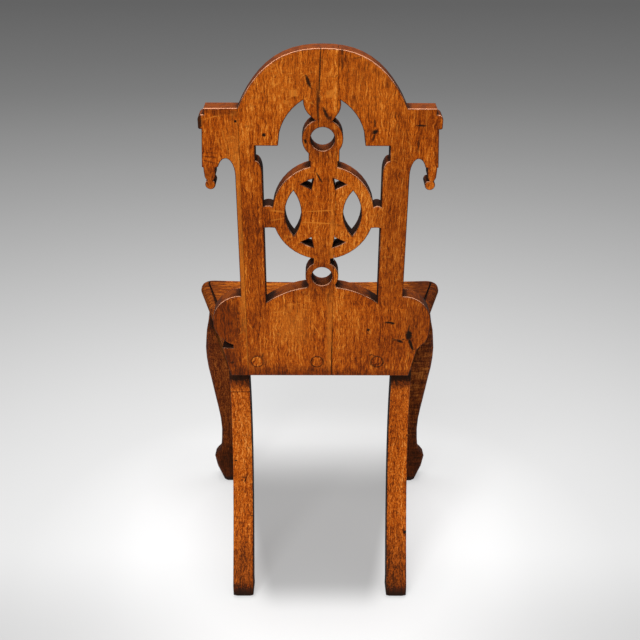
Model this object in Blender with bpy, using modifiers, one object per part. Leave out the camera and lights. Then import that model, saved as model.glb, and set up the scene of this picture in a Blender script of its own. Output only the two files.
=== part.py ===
# Oak hall chair: a pierced and raked back board, a moulded plank seat, cabriole front legs
# and sabre rear legs on a tenoned frame. Metres, +Z up. The chair faces -Y and its origin is
# on the floor, under the middle of its bounding box. Sizes in depth are measured from the
# rear bottom edge of the back.

import math

import bmesh
import bpy
from mathutils import Matrix, Vector

# Fits and finish
gap = 0.0003
overrun = 0.004
arris = 0.0012
facet_sag = 0.0002
arc_step = math.radians(15)
turned_steps = 20

# Back board, measured along the board from its foot and out from its centre line
back_thickness = 0.0287
back_rake = math.radians(10.6)
back_foot_level = 0.387
back_offset = -0.0018
stile_reach = 0.1266
foot_flare = 0.0214
worn_foot_flare = 0.0164
lip_level = 0.0531
lip_flare = 0.0334
notch_flare = 0.016
lobe_level = 0.102
lobe_radius = 0.0462
worn_lobe_start = math.radians(-6)
stile_width = 0.0392
upper_stile_width = 0.0296
shoulder_top = 0.3702
shoulder_height = 0.0209
arch_centre = 0.4035
arch_radius = 0.1272
arch_swell_share = 0.0085
arch_swell_angle = math.radians(62)
arch_swell_waves = 6
ear_level = 0.4468
ear_flare = 0.0369
ear_offset = 0.0032
lug_flare = 0.0462
lug_top = 0.4380
lug_foot = 0.4168
lug_round = 0.0075
lug_foot_round = 0.0025
pendant_top_flare = 0.0414
pendant_flare = 0.0444
pendant_foot = 0.3605
pendant_drop = 0.0208
pendant_ball = 0.0075
pendant_lean = 0.0021
void_spring = 0.347
void_rise = 0.0264
void_width = 0.025
void_offset = 0.001
# Turned outline below each ear: shares of the pendant's half width and of its drop
pendant_shares = ((0.8, 0.05), (0.78, 0.35), (0.71, 0.72), (0.62, 0.85), (0.4, 1.0))
# Lower right lobe, worn full where the left one is notched: shares of its radius out and up
worn_shares = ((0.59, -1.13), (0.73, -0.945), (0.85, -0.83), (0.925, -0.69), (0.965, -0.54), (0.985, -0.38),
               (0.997, -0.2))

# Piercings of the back
spandrel_cusp = (0.0264, 0.4586)
spandrel_level = 0.3924
spandrel_reach = 0.0624
spandrel_bulge = 0.0100
spandrel_offset = 0.0012
spandrel_corner = 0.0015
boss_neck = 0.0125
boss_foot = 0.4315
boss_bulge = 0.0046
boss_offset = -0.0015
ring_centre = 0.4026
ring_radius = 0.0295
ring_hole = 0.01745
collar_reach = 0.0222
collar_foot = 0.3695
collar_undercut = 0.0005
stem_reach = 0.0199
collar_offset = 0.0022
roundel_centre = 0.288
boss_run = 0.0117
roundel_rim = 0.0188
roundel_offset = -0.0014
boss_top = 0.2988
boss_rise = 0.0018
boss_bottom = 0.2647
boss_dip = 0.0006
# Tracery of the roundel: shares of the radius that its piercings reach
lens_height_share = 1.274
lens_inner_share = 0.5466
dart_inner_angle = math.radians(75.4)
dart_outer_angle = math.radians(54.6)
dart_reach_share = 0.3093
dart_rise_share = 0.6801
low_ring_centre = 0.1831
low_ring_radius = 0.0255
low_ring_hole = 0.0159
low_neck = 0.013
low_root = 0.021
low_root_flare = 0.0018
apron_cusp = 0.1369
apron_rise = 0.0289

# Glue lines of the back: the place of each at the foot and its slope up the board
left_joint_inset = 0.0069
left_joint_slope = -0.0022
right_joint = -0.0163
right_joint_slope = -0.0098

# Seat plank
seat_top = 0.4287
seat_thickness = 0.020
seat_reach = 0.4085
seat_hollow = 0.0128
seat_half = 0.2392
seat_taper = 0.089
seat_cheek = 0.0365
seat_corner_round = 0.024
seat_shoulder_round = 0.06
seat_joint_share = 0.502
mould_width = 0.0186
# Moulded edge from the underside up: shares of its width and of the plank's thickness
mould_shares = ((0.28, 0.0), (0.06, 0.06), (0.0, 0.24), (0.0, 0.4), (0.06, 0.62), (0.2, 0.82), (0.42, 0.94),
                (0.66, 0.975), (0.8, 0.96), (0.87, 0.85), (0.92, 0.84), (0.965, 0.98), (1.0, 1.0))

# Rear legs
rear_leg_overhang = 0.0028
rear_leg_width = 0.0333
rear_leg_depth = 0.034
heel_splay = -0.0045
heel_width = 0.0345
foot_ease = 0.0045
heel_reach = 0.0655
heel_height = 0.020
heel_slope = -0.58
heel_depth = 0.039
kick_level = 0.36
splice_level = 0.341
spigot_radius = 0.0075
spigot_length = 0.020
leg_corner_share = 0.07

# Front legs, in their own square frame: out from the inner faces of the post
knee_size = 0.0618
knee_side_inset = 0.0074
knee_front_inset = 0.0107
post_foot_share = 0.83
post_round_share = 0.05
knee_round_share = 0.22
# Cabriole line: shares of the leg's height, then of the knee for its outer and inner lines
cabriole_shares = ((1.0, 0.759, 0.0), (0.94, 0.803, 0.0), (0.89, 0.85, 0.0), (0.84, 0.919, 0.0),
                   (0.79, 0.968, 0.01), (0.735, 1.0, 0.05), (0.68, 0.99, 0.095), (0.625, 0.95, 0.137),
                   (0.57, 0.878, 0.161), (0.515, 0.809, 0.17), (0.46, 0.738, 0.161), (0.405, 0.66, 0.133),
                   (0.35, 0.592, 0.1), (0.29, 0.561, 0.076), (0.235, 0.575, 0.057), (0.205, 0.595, 0.043),
                   (0.187, 0.62, 0.028), (0.17, 0.67, 0.014), (0.154, 0.76, 0.0), (0.137, 0.832, -0.01),
                   (0.088, 0.757, -0.028), (0.03, 0.583, -0.033), (0.0, 0.529, -0.019))

# Seat frame
rail_thickness = 0.022
rail_height = 0.063
back_rail_height = 0.034
tenon_length = 0.014
rail_shoulder = 0.006
rail_setback = 0.003
block_height = 0.026
block_run = 0.050

# Fixings
pellet_radius = 0.00925
pellet_depth = 0.009
back_screw_level = 0.0272
back_screw_outset = 0.0101
back_screw_offset = 0.0072
back_screw_length = 0.044
back_screw_radius = 0.0024
back_screw_head = 0.0052
seat_screw_length = 0.034
seat_screw_radius = 0.0022
seat_screw_head = 0.0043
seat_screw_sink = 0.002
head_depth_share = 0.6
head_rim_share = 0.12
tip_share = 1.6

# Places that follow from the sizes above
seat_under = seat_top - seat_thickness
leg_top = seat_under - gap
crown = arch_centre + arch_radius
stile_inner = stile_reach - stile_width
upper_stile_inner = stile_reach - upper_stile_width
notch_reach = stile_reach + notch_flare
lug_reach = stile_reach + lug_flare
pendant_reach = stile_reach + pendant_flare
roundel_radius = stile_inner - boss_run
tracery_radius = roundel_radius - roundel_rim
left_joint = stile_reach - left_joint_inset
back_screw_spacing = stile_inner + back_screw_outset
back_slope = math.tan(back_rake)
back_turn = (math.pi / 2 - back_rake, 0, 0)
back_foot_front = back_foot_level + back_thickness * math.sin(back_rake)
seat_rear_half = seat_half - seat_taper
rear_leg_outer = seat_rear_half + rear_leg_overhang
rear_leg_inner = rear_leg_outer - rear_leg_width
rail_inset = rail_setback + rail_thickness / 2
post_inner = seat_half - knee_side_inset - knee_size
post_back = seat_reach - knee_front_inset - knee_size
post_outer = post_inner + knee_size * cabriole_shares[0][1]
post_front = -post_back - knee_size * cabriole_shares[0][1]


def back_front_y(level):
    """Where the front face of the back stands at a level above the floor."""
    return (level - back_foot_front) * back_slope - back_thickness * math.cos(back_rake)


# Outline helpers
def facets(radius, sweep):
    """Number of straight runs that keep an arc within the facet sag."""
    step = min(arc_step, 2 * math.acos(1 - facet_sag / max(radius, 2 * facet_sag)))
    return max(2, math.ceil(abs(sweep) / step))


def arc(centre_x, centre_z, radius, start, end, rise=None):
    """Points on a circle, or on an ellipse where a second radius is given."""
    tall = radius if rise is None else rise
    steps = facets(max(radius, tall), end - start)
    angles = [start + (end - start) * step / steps for step in range(steps + 1)]
    return [(centre_x + radius * math.cos(a), centre_z + tall * math.sin(a)) for a in angles]


def bow(start, end, bulge):
    """Circular arc between two points, bulging to the right of the way from start to end."""
    first = Vector(start)
    chord = Vector(end) - first
    half = chord.length / 2
    radius = (half * half + bulge * bulge) / (2 * abs(bulge))
    side = math.copysign(1.0, bulge)
    normal = Vector((chord.y, -chord.x)).normalized() * side
    centre = first + chord / 2 - normal * (radius - abs(bulge))
    sweep = 2 * math.asin(min(1.0, half / radius))
    steps = facets(radius, sweep)
    spoke = first - centre
    turn = math.copysign(sweep / steps, side)
    points = [centre + Matrix.Rotation(turn * step, 2) @ spoke for step in range(steps + 1)]
    return [tuple(point) for point in points]


def corner(before, point, after, radius):
    """Round one corner of an outline."""
    here = Vector(point)
    back = (Vector(before) - here).normalized()
    ahead = (Vector(after) - here).normalized()
    opening = back.angle(ahead)
    reach = radius / math.tan(opening / 2)
    centre = here + (back + ahead).normalized() * (radius / math.sin(opening / 2))
    first = here + back * reach - centre
    last = here + ahead * reach - centre
    sweep = first.angle_signed(last)
    steps = facets(radius, sweep)
    points = [centre + Matrix.Rotation(-sweep * step / steps, 2) @ first for step in range(steps + 1)]
    return [tuple(point) for point in points]


def mirrored(points):
    return [(-x, z) for x, z in reversed(points)]


# Outlines of the back. Side is 1 for +X and -1 for -X: some features stand off centre.
def pendant(side):
    """Block, bead and ball below an ear, from the stile's side round to the outside."""
    inner = stile_reach + void_width + side * void_offset
    half = (pendant_reach + side * ear_offset - inner) / 2
    middle = inner + half
    level = pendant_foot
    inside = [(middle - half * wide, level - pendant_drop * down) for wide, down in pendant_shares]
    neck = half * pendant_shares[-1][0]
    open_angle = math.acos(neck / pendant_ball)
    ball_level = level - pendant_drop - pendant_ball * math.sin(open_angle)
    ball_middle = middle if side > 0 else middle - pendant_lean
    ball = arc(ball_middle, ball_level, pendant_ball, math.pi - open_angle, 2 * math.pi + open_angle)
    outside = [(2 * middle - x, z) for x, z in reversed(inside)]
    return inside + ball[1:-1] + outside


def arch():
    """Sawn arch from an ear to the crown, a little full at its shoulder."""
    spring = math.asin((ear_level - arch_centre) / stile_reach)
    steps = facets(arch_radius, math.pi / 2 - spring)
    angles = [spring + (math.pi / 2 - spring) * step / steps for step in range(steps + 1)]
    swells = [1 + arch_swell_share * math.cos(arch_swell_waves * (a - arch_swell_angle)) for a in angles]
    return [(arch_radius * math.cos(a) * swell, arch_centre + arch_radius * math.sin(a) * swell)
            for a, swell in zip(angles, swells)]


def notched_lobe():
    """Left side, from the foot's corner over the lip and notch to the top of the lobe."""
    start = -math.acos(notch_flare / lobe_radius)
    return [(stile_reach + foot_flare, 0), (stile_reach + lip_flare, lip_level), (notch_reach, lip_level),
            *arc(stile_reach, lobe_level, lobe_radius, start, math.pi / 2)]


def worn_lobe():
    """Right side, which has lost its notch."""
    worn = [(stile_reach + lobe_radius * out, lobe_level + lobe_radius * up) for out, up in worn_shares]
    return [(stile_reach + worn_foot_flare, 0), *worn,
            *arc(stile_reach, lobe_level, lobe_radius, worn_lobe_start, math.pi / 2)]


def outer_half(side):
    """Outline of the back from the foot's corner round to the crown."""
    lobe = notched_lobe() if side > 0 else worn_lobe()
    void_end = math.asin((pendant_foot - void_spring) / void_rise)
    half_void = (void_width + side * void_offset) / 2
    void = arc(stile_reach + half_void, void_spring, half_void, math.pi, void_end, void_rise)
    offset = side * ear_offset
    lug_side, lug_head = (lug_reach + offset, lug_foot), (lug_reach + offset, lug_top)
    block_x, ear_x = stile_reach + pendant_top_flare + offset, stile_reach + ear_flare + offset
    block_top, block_foot = (block_x, lug_foot), (pendant_reach + offset, pendant_foot)
    ear_side, ear_top = (ear_x, lug_top), (ear_x, ear_level)
    lug_base = corner(block_top, lug_side, lug_head, lug_foot_round)
    lug_crown = corner(lug_side, lug_head, ear_side, lug_round)
    return (lobe + void + pendant(side) + [block_foot, block_top] + lug_base + lug_crown
            + [ear_side, ear_top] + arch())


def outer_outline():
    return outer_half(1) + mirrored(outer_half(-1))[1:]


def upper_piercing(side):
    """Opening between arch, stile, roundel and ring."""
    collar = collar_reach - side * collar_offset
    stem = stem_reach - side * collar_offset
    neck = boss_neck + side * boss_offset
    cusp = (spandrel_cusp[0] + side * spandrel_offset, spandrel_cusp[1])
    spandrel = bow((spandrel_reach + side * spandrel_offset, spandrel_level), cusp, spandrel_bulge)
    turn = corner((upper_stile_inner, spandrel_level), spandrel[0], spandrel[1], spandrel_corner)
    boss = bow((neck, boss_foot), cusp, boss_bulge)
    ring = arc(0, ring_centre, ring_radius, math.acos(neck / ring_radius), -math.acos(collar / ring_radius))
    middle = side * roundel_offset
    low = math.asin((boss_top - roundel_centre) / roundel_radius)
    roundel = arc(middle, roundel_centre, roundel_radius, math.acos((stem - middle) / roundel_radius), low)
    side_boss = bow((stile_inner, boss_top), roundel[-1], boss_rise)
    shoulder_run = stile_width - upper_stile_width
    shoulder_foot = shoulder_top - shoulder_height
    shoulder = arc(upper_stile_inner, shoulder_foot, shoulder_run, math.pi, math.pi / 2, shoulder_height)
    return (spandrel[2:-1] + list(reversed(boss))[:-1] + ring
            + [(collar, collar_foot), (stem, collar_foot - collar_undercut)] + roundel[:-1]
            + list(reversed(side_boss)) + shoulder + [(upper_stile_inner, spandrel_level)] + turn)


def lower_piercing(side):
    """Opening between roundel, stile, apron and lower ring."""
    middle = side * roundel_offset
    start = math.asin((boss_bottom - roundel_centre) / roundel_radius)
    end = -math.acos((low_neck - middle) / roundel_radius)
    roundel = arc(middle, roundel_centre, roundel_radius, start, end)
    side_boss = bow((stile_inner, boss_bottom), roundel[0], boss_dip)
    ring_start = math.acos(low_neck / low_ring_radius)
    ring_end = -math.acos(low_root / low_ring_radius)
    ring = arc(0, low_ring_centre, low_ring_radius, ring_start, ring_end)
    apron_radius = (stile_inner ** 2 + apron_rise ** 2) / (2 * apron_rise)
    apron_middle = apron_cusp + apron_rise - apron_radius
    root = math.acos((low_root + low_root_flare) / apron_radius)
    apron = arc(0, apron_middle, apron_radius, root, math.acos(stile_inner / apron_radius))
    return side_boss + roundel[1:] + ring + apron


def lens(side):
    """Eye-shaped piercing of the roundel."""
    middle = side * roundel_offset
    tip = math.asin(lens_height_share / 2)
    outer = arc(middle, roundel_centre, tracery_radius, -tip, tip)
    upper, lower = outer[-1], outer[0]
    inner = bow(upper, lower, upper[0] - tracery_radius * lens_inner_share)
    return outer + inner[1:-1]


def dart(side, up):
    """Small three-sided piercing of the roundel, above or below its middle."""
    middle = side * roundel_offset
    outer = arc(middle, roundel_centre, tracery_radius, up * dart_outer_angle, up * dart_inner_angle)
    return outer + [(middle + tracery_radius * dart_reach_share,
                     roundel_centre + up * tracery_radius * dart_rise_share)]


def back_loops():
    """Outer outline, then every piercing, each with the way round that the fill needs."""
    holes = []
    for side in (1, -1):
        pierced = [upper_piercing(side), lower_piercing(side), lens(side), dart(side, 1), dart(side, -1)]
        holes += pierced if side > 0 else [mirrored(hole) for hole in pierced]
    holes.append(arc(0, ring_centre, ring_hole, 0, 2 * math.pi)[:-1])
    holes.append(arc(0, low_ring_centre, low_ring_hole, 0, 2 * math.pi)[:-1])
    return [wound(outer_outline(), 1)] + [wound(hole, -1) for hole in holes]


def wound(points, way):
    """Give a closed outline the wanted way round and drop points that repeat."""
    kept = [p for i, p in enumerate(points) if (Vector(p) - Vector(points[i - 1])).length > gap]
    area = sum(a[0] * b[1] - b[0] * a[1] for a, b in zip(kept, kept[1:] + kept[:1]))
    return kept if area * way > 0 else kept[::-1]


# Scene helpers
def clear_scene():
    for thing in list(bpy.data.objects):
        bpy.data.objects.remove(thing, do_unlink=True)


def new_collection(name):
    group = bpy.data.collections.new(name)
    bpy.context.scene.collection.children.link(group)
    return group


def material(name, colour, roughness, metallic=0.0):
    made = bpy.data.materials.new(name)
    made.use_nodes = True
    shader = made.node_tree.nodes["Principled BSDF"]
    shader.inputs["Base Color"].default_value = (*colour, 1.0)
    shader.inputs["Roughness"].default_value = roughness
    shader.inputs["Metallic"].default_value = metallic
    made.diffuse_color = (*colour, 1.0)
    return made


def place(name, mesh, group, parent, location=(0, 0, 0), rotation=(0, 0, 0)):
    thing = bpy.data.objects.new(name, mesh)
    group.objects.link(thing)
    thing.parent = parent
    thing.location = location
    thing.rotation_euler = rotation
    return thing


def empty(name, group, parent=None, location=(0, 0, 0), rotation=(0, 0, 0)):
    return place(name, None, group, parent, location, rotation)


def finish(thing, look, smooth_angle=math.radians(35)):
    thing.data.materials.append(look)
    thing.data.shade_smooth()
    thing.data.set_sharp_from_angle(angle=smooth_angle)
    return thing


def as_cutter(thing):
    thing.hide_render = True
    thing.display_type = "WIRE"
    return thing


def boolean(thing, cutter, operation="DIFFERENCE"):
    step = thing.modifiers.new(cutter.name, "BOOLEAN")
    step.operation = operation
    step.object = cutter
    step.solver = "EXACT"


def mesh_from(bm, name):
    mesh = bpy.data.meshes.new(name)
    bmesh.ops.recalc_face_normals(bm, faces=bm.faces)
    bm.to_mesh(mesh)
    bm.free()
    return mesh


def box_mesh(name, size, centre=(0, 0, 0)):
    bm = bmesh.new()
    bmesh.ops.create_cube(bm, size=1.0, matrix=Matrix.Translation(centre) @ Matrix.Diagonal((*size, 1.0)))
    return mesh_from(bm, name)


def plate_mesh(name, loops, thickness, edge):
    """Flat outline with piercings, filled and given its thickness, with its edges eased."""
    curve = bpy.data.curves.new(name, "CURVE")
    curve.dimensions = "2D"
    curve.fill_mode = "BOTH"
    curve.extrude = thickness / 2 - edge
    curve.bevel_depth = edge
    curve.bevel_resolution = 1 if edge else 0
    curve.offset = -edge
    curve.render_resolution_u = 0
    for loop in loops:
        spline = curve.splines.new("POLY")
        spline.points.add(len(loop) - 1)
        spline.use_cyclic_u = True
        for point, (x, z) in zip(spline.points, loop):
            point.co = (x, z, 0, 1)
    guide = bpy.data.objects.new(name, curve)
    bpy.context.scene.collection.objects.link(guide)
    evaluated = guide.evaluated_get(bpy.context.evaluated_depsgraph_get())
    mesh = bpy.data.meshes.new_from_object(evaluated)
    bpy.data.objects.remove(guide, do_unlink=True)
    bm = bmesh.new()
    bm.from_mesh(mesh)
    bmesh.ops.remove_doubles(bm, verts=bm.verts, dist=edge / 20 if edge else gap / 10)
    bmesh.ops.translate(bm, verts=bm.verts, vec=(0, 0, thickness / 2))
    bpy.data.meshes.remove(mesh)
    return mesh_from(bm, name)


def loft_mesh(name, rings):
    """Skin a stack of rings with equal counts and close both ends."""
    bm = bmesh.new()
    stacked = [[bm.verts.new(point) for point in ring] for ring in rings]
    for lower, upper in zip(stacked, stacked[1:]):
        for index in range(len(lower)):
            after = (index + 1) % len(lower)
            bm.faces.new((lower[index], lower[after], upper[after], upper[index]))
    bm.faces.new(stacked[0][::-1])
    bm.faces.new(stacked[-1])
    return mesh_from(bm, name)


def rounded_ring(low_x, high_x, low_y, high_y, radius, level):
    """Rectangle with rounded corners, at one level."""
    middle = Vector(((low_x + high_x) / 2, (low_y + high_y) / 2))
    half = Vector(((high_x - low_x) / 2 - radius, (high_y - low_y) / 2 - radius))
    points = []
    for quarter in range(4):
        turn = quarter * math.pi / 2
        sign_x = 1 if quarter in (0, 3) else -1
        sign_y = 1 if quarter in (0, 1) else -1
        for step in range(4):
            angle = turn + step * math.pi / 6
            points.append((middle.x + sign_x * half.x + radius * math.cos(angle),
                           middle.y + sign_y * half.y + radius * math.sin(angle), level))
    return points


def turned(name, profile, group, parent, location, rotation=(0, 0, 0)):
    """Profile of radius and level, from the top down, turned about its own axis."""
    bm = bmesh.new()
    points = [bm.verts.new((radius, 0, level)) for radius, level in profile]
    for first, second in zip(points, points[1:]):
        bm.edges.new((first, second))
    mesh = bpy.data.meshes.new(name)
    bm.to_mesh(mesh)
    bm.free()
    thing = place(name, mesh, group, parent, location, rotation)
    spin = thing.modifiers.new("turn", "SCREW")
    spin.steps = turned_steps
    spin.render_steps = turned_steps
    spin.use_merge_vertices = True
    spin.merge_threshold = gap / 10
    return thing


def screw_profile(length, radius, head, spare=0.0):
    """Countersunk wood screw from its head down, or the hole for it where spare is given."""
    rim = head * head_rim_share
    sink = head * head_depth_share
    tip = radius * tip_share
    wide, thin = head + spare, radius + spare
    return [(0, 0), (wide, 0), (wide, -rim), (thin, -rim - sink), (thin, spare - length - spare + tip),
            (0, -length - spare)]


# Sub-parts of the back
def make_back(parts, cutters, frame, looks):
    """Three boards glued edge to edge: each is the pierced back cut along its glue lines."""
    whole = plate_mesh("back", back_loops(), back_thickness, arris)
    wide = 2 * lug_reach
    tall = crown / 2
    joints = ((left_joint, left_joint_slope), (right_joint, right_joint_slope))
    names = (("back_board_left", (joints[0],), (1,)), ("back_board_middle", joints, (-1, 1)),
             ("back_board_right", (joints[1],), (-1,)))
    boards = []
    for name, lines, sides in names:
        board = place(name, whole.copy(), parts, frame)
        for (foot, slope), side in zip(lines, sides):
            size = (wide, crown + 2 * overrun, back_thickness + 2 * overrun)
            edge = box_mesh(name + "_edge", size, (-side * (wide + gap) / 2 + side * gap, 0, 0))
            angle = -math.atan(slope)
            centre = (foot + slope * tall, tall, back_thickness / 2)
            cutter = place(name + "_edge", edge, cutters, frame, centre, (0, 0, angle))
            boolean(board, as_cutter(cutter))
        boards.append(finish(board, looks["back"]))
    return boards


def make_back_fixings(parts, cutters, frame, looks):
    """Pelleted screws that hold the back to the rear edge of the seat."""
    holes = []
    for index in range(3):
        x = back_screw_offset + (1 - index) * back_screw_spacing
        spot = (x, back_screw_level, 0)
        facing = (math.pi, 0, 0)
        bm = bmesh.new()
        bmesh.ops.create_cone(bm, cap_ends=True, segments=turned_steps, radius1=pellet_radius,
                              radius2=pellet_radius, depth=pellet_depth,
                              matrix=Matrix.Translation((0, 0, -pellet_depth / 2)))
        pellet = place(f"pellet_{index + 1}", mesh_from(bm, "pellet"), parts, frame, spot, facing)
        finish(pellet, looks["pellet"])
        head = (x, back_screw_level, pellet_depth + gap)
        profile = screw_profile(back_screw_length, back_screw_radius, back_screw_head)
        finish(turned(f"back_screw_{index + 1}", profile, parts, frame, head, facing), looks["screw"])
        hole = screw_profile(back_screw_length, back_screw_radius, back_screw_head, gap)
        bored = pellet_radius + gap
        sunk = [(0, pellet_depth + gap + overrun), (bored, pellet_depth + gap + overrun), (bored, 0)]
        bore = turned(f"back_bore_{index + 1}", sunk + hole[1:], cutters, frame, head, facing)
        holes.append(as_cutter(bore))
    return holes


# Seat
def seat_half_outline():
    """Half of the plank's plan, from the middle of its front edge back to its rear corner."""
    horn = (seat_half, -seat_reach)
    shoulder = (seat_half, seat_cheek - seat_reach)
    rear = (seat_rear_half, 0)
    front = bow((-seat_half, -seat_reach), horn, -seat_hollow)
    hollow = [point for point in front if point[0] > -gap]
    turn = corner(hollow[-2], horn, shoulder, seat_corner_round)
    bend = corner(horn, shoulder, rear, seat_shoulder_round)
    return hollow[:-1] + turn + bend + [rear]


def seat_ring(outline, inset, level):
    """One level of the moulded edge: the outline drawn in, with the rear edge on the back."""
    points = [Vector(point) for point in outline]
    ring = []
    for index, point in enumerate(points[:-1]):
        ahead = points[index + 1]
        behind = points[index - 1] if index else Vector((-ahead.x, ahead.y))
        way = (ahead - behind).normalized()
        ring.append(point + Vector((-way.y, way.x)) * inset)
    way = (points[-1] - points[-2]).normalized()
    rear_y = back_front_y(level) - gap
    last = points[-1] + Vector((-way.y, way.x)) * inset
    ring.append(last + way * ((rear_y - last.y) / way.y))
    left = [(-point.x, point.y) for point in reversed(ring) if point.x > gap]
    return [(point.x, point.y, level) for point in ring] + [(x, y, level) for x, y in left]


def make_seat(parts, cutters, root, looks):
    """Moulded plank of two boards glued across the depth."""
    outline = seat_half_outline()
    rings = [seat_ring(outline, mould_width * inward, seat_under + seat_thickness * up)
             for inward, up in mould_shares]
    whole = loft_mesh("seat", rings)
    boards = []
    for name, side in (("seat_board_front", 1), ("seat_board_rear", -1)):
        board = place(name, whole.copy(), parts, root)
        size = (2 * seat_half + 2 * overrun, seat_reach, seat_thickness + 2 * overrun)
        centre = (0, side * (seat_reach + gap) / 2 - side * gap, 0)
        block = box_mesh(name + "_edge", size, centre)
        level = seat_top - seat_thickness / 2
        cutter = place(name + "_edge", block, cutters, root, (0, -seat_reach * seat_joint_share, level))
        boolean(board, as_cutter(cutter))
        boards.append(finish(board, looks["seat"]))
    return boards


# Legs
def rear_leg_line(level):
    """Rear face of a rear leg: along the back, then swept out to the heel."""
    contact = back_front_y(max(level, kick_level)) - gap
    if level >= kick_level:
        return contact
    run = kick_level - heel_height
    t = (kick_level - level) / run
    if t >= 1:
        return heel_reach
    start_slope, end_slope = -back_slope * run, -heel_slope * run
    return ((2 * t ** 3 - 3 * t ** 2 + 1) * contact + (t ** 3 - 2 * t ** 2 + t) * start_slope
            + (3 * t ** 2 - 2 * t ** 3) * heel_reach + (t ** 3 - t ** 2) * end_slope)


def sweep_share(level):
    """How far down a rear leg's sweep a level is: 0 at its start and 1 at the floor."""
    return max(0.0, (kick_level - level) / kick_level)


def rear_leg_front(level):
    """Front face of a rear leg, which deepens towards the heel."""
    return rear_leg_line(level) - rear_leg_depth - (heel_depth - rear_leg_depth) * sweep_share(level)


def rear_leg_ring(side, level, ease):
    """Section of a rear leg, drawn in where the foot's edge is eased."""
    down = sweep_share(level)
    outer = rear_leg_outer + heel_splay * down
    inner = outer - rear_leg_width - (heel_width - rear_leg_width) * down
    edges = sorted((side * (inner + ease), side * (outer - ease)))
    radius = rear_leg_width * leg_corner_share
    return rounded_ring(*edges, rear_leg_front(level) + ease, rear_leg_line(level) - ease, radius, level)


def rear_leg_rings(side, low, high):
    steps = max(2, round((high - low) / heel_height))
    levels = [low + (high - low) * step / steps for step in range(steps + 1)]
    eased = low < foot_ease
    rings = [rear_leg_ring(side, low, foot_ease)] if eased else []
    return rings + [rear_leg_ring(side, max(level, foot_ease), 0) for level in levels]


def make_rear_legs(parts, cutters, root, looks):
    """Sabre legs. The left one has a new head, let in with a round spigot."""
    right = place("rear_leg_right", loft_mesh("rear_leg", rear_leg_rings(-1, 0, leg_top)), parts, root)
    lower = place("rear_leg_left", loft_mesh("rear_leg", rear_leg_rings(1, 0, splice_level)), parts, root)
    upper_rings = rear_leg_rings(1, splice_level + gap, leg_top)
    upper = place("rear_leg_head_left", loft_mesh("rear_leg_head", upper_rings), parts, root)
    middle = ((rear_leg_outer + rear_leg_inner) / 2, rear_leg_line(splice_level) - rear_leg_depth / 2,
              splice_level)
    for name, thing, radius, operation, low in (("spigot", upper, spigot_radius, "UNION", spigot_length),
                                                ("spigot_bore", lower, spigot_radius + gap, "DIFFERENCE",
                                                 spigot_length + gap)):
        bm = bmesh.new()
        depth = low + overrun
        bmesh.ops.create_cone(bm, cap_ends=True, segments=turned_steps, radius1=radius, radius2=radius,
                              depth=depth, matrix=Matrix.Translation((0, 0, depth / 2 - low)))
        cutter = place(name, mesh_from(bm, name), cutters, root, middle)
        boolean(thing, as_cutter(cutter), operation)
    for leg in (right, lower, upper):
        finish(leg, looks["rear_leg"])
    return {-1: right, 1: upper}


def make_front_leg(side, parts, root, looks):
    """Cabriole leg: a square post that swells to the knee, narrows and turns out to a toe."""
    rings = []
    for height_share, outer_share, inner_share in cabriole_shares + (cabriole_shares[-1],):
        ease = foot_ease if len(rings) == len(cabriole_shares) else 0
        level = max(leg_top * height_share, foot_ease - ease)
        outer, inner = knee_size * outer_share - ease, knee_size * inner_share + ease
        round_share = post_round_share if height_share > post_foot_share else knee_round_share
        radius = (outer - inner) * round_share
        edges = sorted((side * (post_inner + inner), side * (post_inner + outer)))
        rings.append(rounded_ring(*edges, -post_back - outer, -post_back - inner, radius, level))
    name = "front_leg_left" if side > 0 else "front_leg_right"
    return finish(place(name, loft_mesh(name, rings[::-1]), parts, root), looks["front_leg"])


# Seat frame
def shear(bm, skew, lean, end_lean):
    """Slant a rail in plan and in section, and the shoulder of its first end."""
    for vert in bm.verts:
        vert.co.y += skew * vert.co.x + lean * vert.co.z
        if vert.co.x < 0:
            vert.co.x -= end_lean * vert.co.z


def rail_mesh(name, length, height, slants):
    """Rail along X with a shouldered tenon at each end."""
    bm = bmesh.new()
    bmesh.ops.create_cube(bm, size=1.0, matrix=Matrix.Diagonal((length, rail_thickness, height, 1.0)))
    ends = [face for face in bm.faces if round(face.normal.x)]
    bmesh.ops.inset_individual(bm, faces=ends, thickness=rail_shoulder, use_even_offset=True)
    for face in ends:
        way = math.copysign(tenon_length, face.normal.x)
        tenon = bmesh.ops.extrude_discrete_faces(bm, faces=[face])["faces"][0]
        bmesh.ops.translate(bm, verts=tenon.verts, vec=(way, 0, 0))
    shear(bm, *slants)
    return mesh_from(bm, name)


def mortise_mesh(name, length, height, slants, side):
    """Hole that takes the tenon at one end of a rail."""
    near, far = length / 2 - overrun, length / 2 + tenon_length + gap
    bm = bmesh.new()
    size = (far - near, rail_thickness - 2 * rail_shoulder + 2 * gap, height - 2 * rail_shoulder + 2 * gap)
    middle = Matrix.Translation((side * (near + far) / 2, 0, 0))
    bmesh.ops.create_cube(bm, size=1.0, matrix=middle @ Matrix.Diagonal((*size, 1.0)))
    shear(bm, *slants)
    return mesh_from(bm, name)


def make_rail(name, run, height, slants, spot, legs, context):
    """Rail between two legs, the first at its -X end before it is turned, with its mortises."""
    parts, cutters, root, looks = context
    length = run - 2 * gap
    (x, y), turn = spot
    centre = (x, y, leg_top - height / 2)
    rail = place(name, rail_mesh(name, length, height, slants), parts, root, centre, (0, 0, turn))
    for side, leg in zip((-1, 1), legs):
        hole = mortise_mesh(name, length, height, slants, side)
        mortise = place(f"{leg.name}_{name}_mortise", hole, cutters, root, centre, (0, 0, turn))
        boolean(leg, as_cutter(mortise))
    return finish(rail, looks["frame"])


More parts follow.
